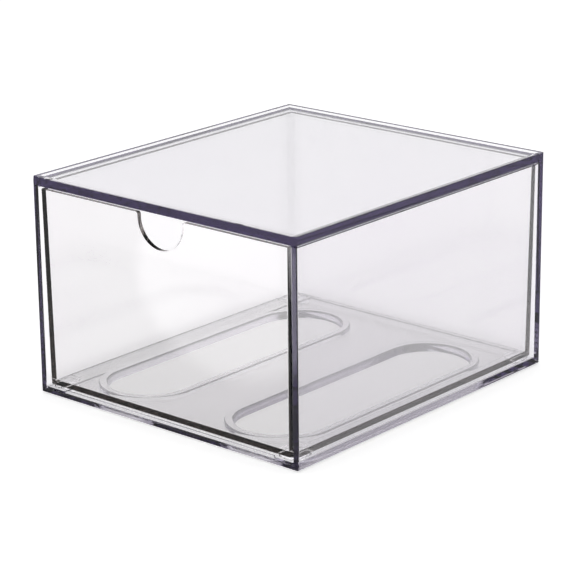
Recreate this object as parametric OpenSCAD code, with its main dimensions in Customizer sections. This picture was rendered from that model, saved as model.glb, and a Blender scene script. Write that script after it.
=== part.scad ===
// Stackable drawer box: a clear moulded case, open at the front, with one
// lift-out drawer and four clear pads under its corners.
//
// Frame: millimetres, +X to the right, +Y to the back, +Z up. The origin is on
// the surface that the box stands on, under the middle of its footprint.

/* [Case] */
// Width of the case, side to side
case_w = 169.2; // [120:0.1:300]
// Depth of the case, front to back
case_d = 192; // [130:0.5:320]
// Height of the case, from its lower edge to the top of its rim
case_h = 112; // [70:1:240]
// Thickness of the side walls and the back wall
wall_t = 3.4; // [2.8:0.1:5]
// Radius along the lower outer edges
base_round = 1.2; // [0.5:0.1:2.2]
// Radius of the two upright outer edges at the back
back_round = 2; // [0.5:0.1:4]
// Radius of the outer edges around the open front
front_round = 0.5; // [0.3:0.1:1]
// Radius of the inner edges around the open front
mouth_round = 0.6; // [0.3:0.1:1]
// Fillet along the inner corners of the drawer bay
bay_fillet = 1; // [0.5:0.1:2]

/* [Top panel and stacking rim] */
// Thickness of the top panel
panel_t = 3.9; // [2:0.1:6]
// Height of the rim above the top panel
rim_h = 1; // [1:0.1:4]
// Width of the rim at its top
rim_w = 2.4; // [1.6:0.1:4]
// How far each face of the rim leans in over its height
rim_draft = 0.3; // [0.1:0.05:0.6]
// Depth of the parting groove where the top panel meets the walls
groove_d = 0.3; // [0.1:0.05:0.6]

/* [Case floor] */
// Thickness of the case floor
floor_t = 2.3; // [1.9:0.1:4]
// Height of the two rails that the drawer's feet run on
rail_h = 1; // [0.8:0.1:1.4]
// Thickness of the lip between the rails at the front
lip_t = 0.9; // [0.6:0.1:2]
// Gap between a rail and the collar beside it
collar_side = 0.7; // [0.3:0.1:6]
// Distance from the front of the case to the cut-outs
cutout_front = 14.5; // [9:0.5:30]
// Distance from the back of the case to the cut-outs
cutout_back = 23; // [18:0.5:40]
// Width of the floor between the two cut-outs
cutout_mid = 42; // [20:1:48]
// Width of the raised collar around each cut-out
collar_w = 4.7; // [2.4:0.1:6]
// Radius of the collar's upper edges
collar_round = 0.9; // [0.3:0.1:1.1]

/* [Foot pads] */
// Diameter of a foot pad
pad_d = 10; // [7:0.5:12]
// Distance from the side of the case to the middle of a pad
pad_side = 11.8; // [9:0.1:13]
// Distance from the front or the back of the case to the middle of a pad
pad_end = 9.5; // [8.5:0.1:14]
// How far the pads stand proud of the case's lower edge
pad_proud = 0.8; // [0.5:0.1:0.9]
// Width of the bevel around the lower edge of a pad
pad_bevel = 0.3; // [0.1:0.1:0.4]
// Thickness of the adhesive film that holds a pad
pad_film = 0.05; // [0.02:0.01:0.1]

/* [Drawer] */
// Thickness of the drawer's side walls at their top
drawer_wall = 2.6; // [1.8:0.1:4]
// Thickness of the drawer's front and back walls at their top
end_wall = 2.4; // [1.8:0.1:4]
// How much thicker the side and back walls are at their bottom
core_draft = 0.5; // [0.2:0.1:1]
// Thickness of the drawer's floor
drawer_floor = 2.5; // [1.6:0.1:4]
// How far each side wall leans in from its top to its bottom
side_draft = 0.5; // [0.2:0.1:1]
// How far the front and back walls lean in from their top to their bottom
end_draft = 1; // [0.2:0.1:1.5]
// Radius of the drawer's upright outer corners
drawer_round = 1.3; // [1.2:0.1:3]
// Radius along the drawer's lower outer edges
drawer_edge = 0.5; // [0.3:0.1:1]
// Radius of the fillets inside the drawer
drawer_fillet = 0.3; // [0.2:0.1:1.5]

/* [Drawer fit] */
// Gap on each side, at the drawer's top edge
side_gap = 1.1; // [0.6:0.1:3]
// How far the top of the drawer front sits back from the front of the case
front_recess = 0.5; // [0:0.1:3]
// Gap between the closed drawer's top edge and the back wall
back_gap = 0.3; // [0.2:0.1:4]
// Gap between the drawer's top edge and the top panel
top_gap = 1.2; // [0.6:0.1:4]
// Running gap between the drawer's feet and the rails
slide_gap = 0.2; // [0.1:0.05:0.4]
// Gap between the drawer's feet and the ends of the front lip
foot_clear = 0.4; // [0.3:0.1:1]
// Gap between the drawer's floor and the front lip
lip_gap = 0.85; // [0.3:0.05:0.9]
// Gap between the drawer's floor and the collars
collar_gap = 0.55; // [0.3:0.05:1]

/* [Drawer feet] */
// Width of a drawer foot, across the case
foot_w = 9.6; // [7:0.1:11]
// Length of a drawer foot, front to back
foot_l = 13; // [8:0.5:20]
// Height of the feet below the drawer's floor
foot_h = 1.25; // [1:0.05:2]
// Thickness of the rib that outlines a foot
foot_rib = 1.2; // [0.8:0.1:1.8]
// Radius of a foot's corners
foot_round = 2.5; // [2:0.1:3.4]
// Distance from the drawer's lower edges to its feet
foot_inset = 0.6; // [0.2:0.1:2]

/* [Finger notch] */
// Width of the finger notch in the drawer front
notch_w = 28.7; // [18:0.1:36]
// Height of the notch's straight sides, above its half-round
notch_straight = 2.1; // [2:0.1:14]
// Radius where the notch meets the drawer's top edge
notch_lip = 1.2; // [0.4:0.1:1.9]

/* [Hidden] */
$fn = 48;

cut = 1;            // how far a cut runs past a face
sliver = 0.01;      // thickness of a layer that only shapes a hull
small_fn = 24;      // sides of a circle that shapes a small edge
large_fn = 96;      // sides of a circle that shapes a cut-out or the notch
mouth_steps = 6;    // flats that round an inner edge of the open front

base_z = pad_proud;                  // lower edge of the case
floor_z = base_z + floor_t;          // top of the case floor
rail_z = floor_z + rail_h;           // top of the rails
rim_z = base_z + case_h;             // top of the stacking rim
panel_z = rim_z - rim_h;             // top of the top panel
seam_z = panel_z - panel_t;          // underside of the panel, parting line

side_x = case_w / 2;
front_y = -case_d / 2;
back_y = case_d / 2;
bay_x = side_x - wall_t;             // inner face of the side walls
bay_y = back_y - wall_t;             // inner face of the back wall
mouth_y = front_y + mouth_round;     // where the rails and the lip begin

drawer_z = rail_z + slide_gap + foot_h;     // underside of the drawer's floor
drawer_top = seam_z - top_gap;
drawer_h = drawer_top - drawer_z;
drawer_side = bay_x - side_gap;             // half width at the top edge
drawer_front = front_y + front_recess;      // front face at the top edge
drawer_back = bay_y - back_gap;             // back face at the top edge
notch_r = notch_w / 2;

foot_x = drawer_side - side_draft - foot_inset;   // outer face of the feet
rail_x = foot_x - foot_w - foot_clear;            // inner edge of the rails
lip_z = drawer_z - lip_gap;                       // top of the front lip
collar_z = drawer_z - collar_gap;                 // top of the collars

cutout_side = side_x - rail_x + collar_side + collar_w;
cutout_w = (case_w - 2 * cutout_side - cutout_mid) / 2;
cutout_l = case_d - cutout_front - cutout_back;
cutout_x = (cutout_mid + cutout_w) / 2;
cutout_y = (cutout_front - cutout_back) / 2;

pad_x = side_x - pad_side;
pad_y = back_y - pad_end;

// Rectangle with its own radius at each corner, anticlockwise from x0, y0
module rounded(x0, y0, x1, y1, r = [0, 0, 0, 0]) {
  corners = [[x0, y0, 1, 1], [x1, y0, -1, 1], [x1, y1, -1, -1], [x0, y1, 1, -1]];
  difference() {
    translate([x0, y0]) square([x1 - x0, y1 - y0]);
    for (i = [0:3])
      if (r[i] > 0)
        translate([corners[i][0], corners[i][1]])
          mirror([corners[i][2] < 0 ? 1 : 0, 0])
            mirror([0, corners[i][3] < 0 ? 1 : 0])
              difference() {
                translate([-r[i], -r[i]]) square(2 * r[i]);
                translate([r[i], r[i]]) circle(r[i], $fn = small_fn);
              }
  }
}

// Outline with straight sides and half-round ends
module stadium(w, l) {
  square([w, l - w], center = true);
  for (end = [-1, 1]) translate([0, end * (l - w) / 2]) circle(w / 2, $fn = large_fn);
}

// Runs an outline drawn across the front (x, z) from y0 to y1
module run_y(y0, y1) {
  translate([0, y1, 0]) rotate([90, 0, 0]) linear_extrude(y1 - y0) children();
}

// Runs an outline drawn on the side (y, z) across the full width w
module run_x(w) {
  translate([-w / 2, 0, 0]) rotate([90, 0, 90]) linear_extrude(w) children();
}

// Four-sided outline that is half0 wide at z0 and half1 wide at z1
module tapered(half0, z0, half1, z1) {
  polygon([[-half0, z0], [half0, z0], [half1, z1], [-half1, z1]]);
}

// Places its child at both cut-outs
module each_cutout() {
  for (side = [-1, 1]) translate([side * cutout_x, cutout_y, 0]) children();
}

// Outline of the case walls from the front or the side, up to the groove, with
// the lower corners' radii
module wall_outline(half, r) {
  groove_z = seam_z - groove_d;
  rounded(-half, base_z, half, groove_z, [r[0], r[1], 0, 0]);
  tapered(half, groove_z, half - groove_d, seam_z);
}

// Outline of the top panel with its rim, from the front or the side
module top_outline(half) {
  tapered(half - groove_d, seam_z, half, seam_z + groove_d);
  tapered(half, seam_z + groove_d, half - rim_draft, rim_z);
}

module case_block() {
  intersection() {
    union() {
      intersection() {
        run_y(front_y, back_y) wall_outline(side_x, [base_round, base_round]);
        run_x(case_w) wall_outline(back_y, [front_round, base_round]);
      }
      intersection() {
        run_y(front_y, back_y) top_outline(side_x);
        run_x(case_w) top_outline(back_y);
      }
    }
    linear_extrude(rim_z + cut)
      rounded(-side_x, front_y, side_x, back_y,
              [front_round, front_round, back_round, back_round]);
  }
}

// Outline that rounds one inner edge of the open front. The edge is at the
// origin, with the wall beyond it in +X and the case behind it in +Y.
module mouth_outline() {
  r = mouth_round;
  arc = [for (i = [0:mouth_steps]) 90 * i / mouth_steps];
  polygon(concat([[-cut, -cut], [r, -cut]],
                 [for (a = arc) [r - r * sin(a), r - r * cos(a)]],
                 [[-cut, r]]));
}

// The bay seen from above: rounded at the mouth and in the back corners
module bay_from_above() {
  rounded(-bay_x, front_y - cut, bay_x, bay_y, [0, 0, bay_fillet, bay_fillet]);
  for (side = [0, 1]) mirror([side, 0]) translate([bay_x, front_y]) mouth_outline();
}

// The bay seen from the side, down to the case floor
module bay_from_side() {
  rounded(front_y - cut, floor_z, bay_y, seam_z, [0, bay_fillet, bay_fillet, 0]);
  translate([front_y, seam_z]) mouth_outline();
  translate([front_y, floor_z]) mirror([0, 1]) mouth_outline();
}

// The bay seen from the front: it steps down to the floor between the rails
module bay_from_front() {
  f = bay_fillet;
  rounded(-bay_x, rail_z, bay_x, seam_z, [f, f, f, f]);
  translate([-rail_x, floor_z]) square([2 * rail_x, rail_h + cut]);
}

// The space that the drawer slides into, open at the front, less the front lip
module drawer_bay() {
  difference() {
    intersection() {
      linear_extrude(rim_z) bay_from_above();
      run_x(case_w) bay_from_side();
      union() {
        run_y(front_y, bay_y) bay_from_front();
        run_y(front_y - cut, mouth_y) translate([-side_x, 0]) square([case_w, rim_z]);
      }
    }
    run_x(2 * rail_x) translate([mouth_y, floor_z - cut])
      square([lip_t, lip_z - floor_z + cut]);
  }
}

// The shallow tray inside the stacking rim, from the front or the side
module tray_outline(half) {
  tapered(half - rim_draft, panel_z, half, rim_z);
  tapered(half, rim_z, half, rim_z + cut);
}

module stacking_tray() {
  intersection() {
    run_y(front_y, back_y) tray_outline(side_x - rim_w);
    run_x(case_w) tray_outline(back_y - rim_w);
  }
}

// Outline across the raised collar beside a cut-out, through the case floor
module collar_outline() {
  rounded(cutout_w / 2, base_z, cutout_w / 2 + collar_w, collar_z,
          [0, 0, collar_round, collar_round]);
}

// Raised collar around one cut-out: two half rings and two straight runs
module collar() {
  straight = (cutout_l - cutout_w) / 2;
  reach = cutout_w / 2 + collar_w + cut;
  for (end = [0, 1])
    mirror([0, end, 0]) translate([0, straight, 0])
      intersection() {
        rotate_extrude($fn = large_fn) collar_outline();
        translate([-reach, 0, 0]) cube([2 * reach, reach, collar_z + cut]);
      }
  for (side = [0, 1]) mirror([side, 0, 0]) run_y(-straight, straight) collar_outline();
}

module case_shell() {
  color([0.80, 0.80, 0.92, 0.45]) union() {
    difference() {
      case_block();
      drawer_bay();
      stacking_tray();
      each_cutout() linear_extrude(floor_z + cut)
        stadium(cutout_w + collar_w, cutout_l + collar_w);
    }
    each_cutout() collar();
  }
}

// Clear pad stuck under one corner of the case floor, bevelled below
module foot_pad(side, end) {
  r = pad_d / 2;
  top = base_z - pad_film;
  color([0.90, 0.92, 0.95, 0.6])
    translate([side * pad_x, end * pad_y, 0])
      rotate_extrude()
        polygon([[0, 0], [r - pad_bevel, 0], [r, pad_bevel], [r, top], [0, top]]);
}

// Solid with rounded upright corners and a rounded lower edge, whose walls
// lean. high and low are its plans at drawer_top and drawer_z, as [half width,
// front y, back y]; r = upright radius, edge = lower radius.
module leaning_block(high, low, r, edge, z0, z1) {
  hull() for (layer = [[z0 + edge, true], [z1 - sliver, false]]) {
    plan = low + (high - low) * (layer[0] - drawer_z) / drawer_h;
    for (x = [r - plan[0], plan[0] - r], y = [plan[1] + r, plan[2] - r])
      translate([x, y, layer[0]]) {
        cylinder(r = r, h = sliver, $fn = small_fn);
        if (layer[1])
          rotate_extrude($fn = small_fn) rounded(0, -edge, r, 0, [0, edge, 0, 0]);
      }
  }
}

// Finger notch, cut through the drawer front along Y
module finger_notch() {
  round_z = drawer_top - notch_straight;
  run_y(drawer_front - cut, drawer_front + end_wall + end_draft + cut) {
    translate([0, round_z]) circle(notch_r, $fn = large_fn);
    translate([-notch_r, round_z]) square([notch_w, notch_straight + cut]);
    for (side = [0, 1])
      mirror([side, 0]) translate([notch_r, drawer_top - notch_lip])
        difference() {
          square([notch_lip, notch_lip + cut]);
          translate([notch_lip, 0]) circle(notch_lip, $fn = small_fn);
        }
  }
}

// Four feet under the drawer's floor, each a rib that runs around its outline
module drawer_feet() {
  y0 = drawer_front + end_draft + foot_inset;
  y1 = drawer_back - end_draft - foot_inset - foot_l;
  t = foot_rib;
  r = foot_round;
  q = foot_round - foot_rib;
  for (side = [0, 1], y = [y0, y1])
    mirror([side, 0, 0]) translate([foot_x - foot_w, y, drawer_z - foot_h])
      linear_extrude(foot_h + drawer_edge) difference() {
        rounded(0, 0, foot_w, foot_l, [r, r, r, r]);
        rounded(t, t, foot_w - t, foot_l - t, [q, q, q, q]);
      }
}

module drawer() {
  high = [drawer_side, drawer_front, drawer_back];
  low = high + [-side_draft, end_draft, -end_draft];
  walls = [-drawer_wall, end_wall, -end_wall];
  color([0.86, 0.85, 0.80, 0.45]) difference() {
    union() {
      leaning_block(high, low, drawer_round, drawer_edge, drawer_z, drawer_top);
      drawer_feet();
    }
    leaning_block(high + walls, low + walls + [-core_draft, 0, -core_draft],
                  drawer_fillet, drawer_fillet / 2,
                  drawer_z + drawer_floor, drawer_top + cut);
    finger_notch();
  }
}

case_shell();
drawer();
foot_pad(-1, -1);  // pad_front_left
foot_pad(1, -1);  // pad_front_right
foot_pad(-1, 1);  // pad_back_left
foot_pad(1, 1);  // pad_back_right
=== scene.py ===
"""Looks of the clear stackable drawer box: tinted plastics, pale floor, soft light and camera.

Everything is in metres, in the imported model's frame: +Z up, +Y to the back, the origin on the
floor under the middle of the box.
"""

import math

import bpy
from mathutils import Matrix, Vector

MM = 0.001

WHITE = (1, 1, 1, 1)

# Camera: a long lens that looks down on the front and the right side
CAMERA_AT = Vector((739.8, -859.4, 412.2)) * MM
CAMERA_AZIMUTH = math.radians(40.867)
CAMERA_ELEVATION = math.radians(17.796)
CAMERA_ROLL = math.radians(-0.619)
CAMERA_REACH = 20.0
SENSOR_MM = 36.0
LENS_MM = 148.03

# Clear mouldings. The tint is what white light keeps after 1 / density metres of plastic, the
# veil a faint colour that comes and goes over the faces, and the wave the depth of their ripple.
CASE_LOOK = {
    "ior": 1.57,
    "tint": (0.36, 0.30, 0.49),
    "density": 22.0,
    "veil": (0.990, 0.985, 0.992),
    "wave": 0.05 * MM,
}
DRAWER_LOOK = {
    "ior": 1.57,
    "tint": (0.22, 0.16, 0.14),
    "density": 21.0,
    "veil": (0.990, 0.985, 0.992),
    "wave": 0.03 * MM,
}
PAD_LOOK = {
    "ior": 1.45,
    "tint": (0.70, 0.72, 0.80),
    "density": 8.0,
    "veil": (0.93, 0.93, 0.95),
    "wave": 0.02 * MM,
}
WAVE_SCALE = 14.0
VEIL_SCALE = 9.0
VEIL_SPAN = (0.3, 0.7)

# Light crosses and mirrors inside the long thin walls many times before it leaves at an edge
BOUNCES = 32

# Floor: its own glow where it is seen, and a painted reflection: a bright glowing patch on it,
# with no card or lamp there, that only mirrored light shows
FLOOR_HALF = 6.0
FLOOR_ALBEDO = 0.80
FLOOR_GLOW = 0.66
REFLECTION_PATCH_GLOW = 1.5
REFLECTION_PATCH_AT = (-0.132, -0.285)
REFLECTION_PATCH_SIZE = (0.18, 0.055)
REFLECTION_PATCH_TURN = math.radians(42.6)
REFLECTION_PATCH_RIM = 0.15

# Room: its level at the horizon and overhead where the plastic lets it through, the heights
# between which that changes, its levels where it is mirrored, and its light on the floor
CLEAR_LEVELS = (1.0, 0.10)
CLEAR_SPAN = (0.32, 0.45)
MIRRORED_LEVELS = (0.71, 0.78)
MIRRORED_SPAN = (0.0, 1.0)
AMBIENT = 0.39

# Lamp: one soft square straight above
LAMP_AT = (0.0, 0.0, 1.5)
LAMP_SIZE = 0.45
LAMP_POWER = 6.0


def add_node(tree, kind, **inputs):
    """A node of that kind, with the named inputs set."""
    node = tree.nodes.new(kind)
    for key, value in inputs.items():
        node.inputs[key.replace("_", " ")].default_value = value
    return node


def add_math(tree, operation, *sources):
    """A sum of that kind on numbers and other nodes' values."""
    node = tree.nodes.new("ShaderNodeMath")
    node.operation = operation
    for socket, source in zip(node.inputs, sources):
        feed(tree, socket, source)
    return node.outputs["Value"]


def feed(tree, socket, source):
    """Gives the socket a number, or the value of another node."""
    if isinstance(source, float):
        socket.default_value = source
    else:
        tree.links.new(source, socket)


def new_material(name):
    """A material without nodes, its tree and a new output node."""
    material = bpy.data.materials.new(name)
    material.use_nodes = True
    tree = material.node_tree
    tree.nodes.clear()
    return material, tree, tree.nodes.new("ShaderNodeOutputMaterial")


def cloud(tree, scale):
    """Slow noise over the moulding, from 0 to 1."""
    place = add_node(tree, "ShaderNodeTexCoord")
    noise = add_node(tree, "ShaderNodeTexNoise", Scale=scale, Detail=2.0, Roughness=0.4)
    tree.links.new(place.outputs["Object"], noise.inputs["Vector"])
    return noise.outputs["Fac"]


def flow_bump(tree, depth):
    """The faint ripple of a moulded face, as a normal."""
    bump = add_node(tree, "ShaderNodeBump", Strength=1.0, Distance=depth)
    tree.links.new(cloud(tree, WAVE_SCALE), bump.inputs["Height"])
    return bump.outputs["Normal"]


def drifting(tree, colour):
    """White that drifts here and there towards a faint colour."""
    drift = tree.nodes.new("ShaderNodeMix")
    drift.data_type = "RGBA"
    drift.inputs["A"].default_value = WHITE
    drift.inputs["B"].default_value = (*colour, 1)
    shift = graded(tree, cloud(tree, VEIL_SCALE), VEIL_SPAN, (0.0, 1.0))
    tree.links.new(shift, drift.inputs["Factor"])
    return drift.outputs["Result"]


def clear_plastic(name, look):
    """Polished clear plastic whose tint deepens with the length of plastic that light crosses."""
    material, tree, output = new_material(name)
    glass = add_node(tree, "ShaderNodeBsdfPrincipled", Roughness=0.0, IOR=look["ior"])
    glass.inputs["Transmission Weight"].default_value = 1.0
    absorption = add_node(tree, "ShaderNodeVolumeAbsorption", Density=look["density"])
    absorption.inputs["Color"].default_value = (*look["tint"], 1)
    tree.links.new(drifting(tree, look["veil"]), glass.inputs["Base Color"])
    tree.links.new(flow_bump(tree, look["wave"]), glass.inputs["Normal"])
    tree.links.new(glass.outputs["BSDF"], output.inputs["Surface"])
    tree.links.new(absorption.outputs["Volume"], output.inputs["Volume"])
    return material


def dress(nodes, prefix, material):
    """Puts the material on every node whose name starts so."""
    for name, node in nodes.items():
        if name.startswith(prefix):
            node.data.materials.clear()
            node.data.materials.append(material)


def graded(tree, value, span, levels):
    """Runs from the first level to the second while the value crosses the span."""
    grade = add_node(tree, "ShaderNodeMapRange")
    grade.inputs["From Min"].default_value, grade.inputs["From Max"].default_value = span
    grade.inputs["To Min"].default_value, grade.inputs["To Max"].default_value = levels
    tree.links.new(value, grade.inputs["Value"])
    return grade.outputs["Result"]


def chosen(tree, choice, otherwise, value):
    """The value where the choice is 1, otherwise the other one."""
    pick = tree.nodes.new("ShaderNodeMix")
    tree.links.new(choice, pick.inputs["Factor"])
    feed(tree, pick.inputs["A"], otherwise)
    feed(tree, pick.inputs["B"], value)
    return pick.outputs["Result"]


def painted_reflection_mask(tree):
    """1 on the painted reflection patch, which fades out over its rim, and 0 elsewhere on the
    floor.
    """
    place = tree.nodes.new("ShaderNodeTexCoord")
    fit = tree.nodes.new("ShaderNodeMapping")
    fit.vector_type = "TEXTURE"
    fit.inputs["Location"].default_value = (*REFLECTION_PATCH_AT, 0)
    fit.inputs["Rotation"].default_value = (0, 0, REFLECTION_PATCH_TURN)
    fit.inputs["Scale"].default_value = (*REFLECTION_PATCH_SIZE, 1)
    ball = tree.nodes.new("ShaderNodeTexGradient")
    ball.gradient_type = "SPHERICAL"
    tree.links.new(place.outputs["Object"], fit.inputs["Vector"])
    tree.links.new(fit.outputs["Vector"], ball.inputs["Vector"])
    return graded(tree, ball.outputs["Fac"], (0.0, REFLECTION_PATCH_RIM), (0.0, 1.0))


def floor_glow(tree):
    """The floor's own light: even where it is seen, and a painted reflection patch where it is
    only mirrored.
    """
    path = tree.nodes.new("ShaderNodeLightPath")
    through = path.outputs["Is Transmission Ray"]
    seen = add_math(tree, "MAXIMUM", path.outputs["Is Camera Ray"], through)
    # Painted reflection: a glowing patch on the floor that only glossy rays see
    painted_reflection = add_math(tree, "MULTIPLY", painted_reflection_mask(tree), REFLECTION_PATCH_GLOW)
    mirrored = chosen(tree, path.outputs["Is Glossy Ray"], 0.0, painted_reflection)
    mirrored = chosen(tree, through, mirrored, 0.0)
    return add_math(tree, "MULTIPLY_ADD", seen, FLOOR_GLOW, mirrored)


def add_floor():
    """Pale floor that keeps the box's shadow and glows up to white where nothing shades it."""
    mesh = bpy.data.meshes.new("floor")
    h = FLOOR_HALF
    mesh.from_pydata([(-h, -h, 0), (h, -h, 0), (h, h, 0), (-h, h, 0)], [], [(0, 1, 2, 3)])
    floor = bpy.data.objects.new("floor", mesh)
    bpy.context.scene.collection.objects.link(floor)
    material, tree, output = new_material("floor_pale")
    pale = (FLOOR_ALBEDO, FLOOR_ALBEDO, FLOOR_ALBEDO, 1)
    diffuse = add_node(tree, "ShaderNodeBsdfDiffuse", Color=pale)
    glow = tree.nodes.new("ShaderNodeEmission")
    total = tree.nodes.new("ShaderNodeAddShader")
    tree.links.new(floor_glow(tree), glow.inputs["Strength"])
    tree.links.new(diffuse.outputs["BSDF"], total.inputs[0])
    tree.links.new(glow.outputs["Emission"], total.inputs[1])
    tree.links.new(total.outputs["Shader"], output.inputs["Surface"])
    mesh.materials.append(material)


def add_world():
    """White behind the box, a pale room in its reflections and a dimmer one on the floor."""
    world = bpy.data.worlds.new("studio")
    bpy.context.scene.world = world
    world.use_nodes = True
    tree = world.node_tree
    tree.nodes.clear()
    path = tree.nodes.new("ShaderNodeLightPath")
    place = tree.nodes.new("ShaderNodeTexCoord")
    split = tree.nodes.new("ShaderNodeSeparateXYZ")
    tree.links.new(place.outputs["Generated"], split.inputs["Vector"])
    height = split.outputs["Z"]
    mirrored = graded(tree, height, MIRRORED_SPAN, MIRRORED_LEVELS)
    clear = graded(tree, height, CLEAR_SPAN, CLEAR_LEVELS)
    level = chosen(tree, path.outputs["Is Glossy Ray"], AMBIENT, mirrored)
    level = chosen(tree, path.outputs["Is Transmission Ray"], level, clear)
    level = chosen(tree, path.outputs["Is Camera Ray"], level, 1.0)
    background = add_node(tree, "ShaderNodeBackground", Color=WHITE)
    output = tree.nodes.new("ShaderNodeOutputWorld")
    tree.links.new(level, background.inputs["Strength"])
    tree.links.new(background.outputs["Background"], output.inputs["Surface"])


def add_lamp():
    """A soft square lamp that shines straight down on the box."""
    data = bpy.data.lights.new("key", "AREA")
    data.shape = "SQUARE"
    data.size = LAMP_SIZE
    data.energy = LAMP_POWER
    lamp = bpy.data.objects.new("key", data)
    lamp.location = LAMP_AT
    bpy.context.scene.collection.objects.link(lamp)


def add_camera():
    """The camera of the reference view, from its place, its two angles and its roll."""
    a, e, r = CAMERA_AZIMUTH, CAMERA_ELEVATION, CAMERA_ROLL
    back = Vector((math.sin(a) * math.cos(e), -math.cos(a) * math.cos(e), math.sin(e)))
    level_right = Vector((math.cos(a), math.sin(a), 0))
    level_up = back.cross(level_right)
    right = level_right * math.cos(r) + level_up * math.sin(r)
    up = level_up * math.cos(r) - level_right * math.sin(r)
    turn = Matrix((right, up, back)).transposed()
    data = bpy.data.cameras.new("camera")
    data.sensor_width = SENSOR_MM
    data.lens = LENS_MM
    data.clip_end = CAMERA_REACH
    camera = bpy.data.objects.new("camera", data)
    camera.matrix_world = Matrix.Translation(CAMERA_AT) @ turn.to_4x4()
    bpy.context.scene.collection.objects.link(camera)
    bpy.context.scene.camera = camera


def set_render():
    """Plain colours, and enough bounces for the light inside the walls."""
    scene = bpy.context.scene
    scene.view_settings.view_transform = "Standard"
    scene.cycles.max_bounces = BOUNCES
    scene.cycles.transmission_bounces = BOUNCES
    scene.cycles.glossy_bounces = BOUNCES


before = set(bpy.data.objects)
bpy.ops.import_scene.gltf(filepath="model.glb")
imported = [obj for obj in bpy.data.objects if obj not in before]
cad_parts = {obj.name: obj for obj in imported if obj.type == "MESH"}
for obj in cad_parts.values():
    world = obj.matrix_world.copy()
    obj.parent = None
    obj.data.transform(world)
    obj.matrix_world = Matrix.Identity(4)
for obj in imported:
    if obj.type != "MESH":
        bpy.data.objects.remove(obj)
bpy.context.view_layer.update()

dress(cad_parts, "case_shell", clear_plastic("case_plastic", CASE_LOOK))
dress(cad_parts, "drawer", clear_plastic("drawer_plastic", DRAWER_LOOK))
dress(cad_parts, "pad_", clear_plastic("pad_plastic", PAD_LOOK))

add_camera()
add_floor()
add_world()
add_lamp()
set_render()
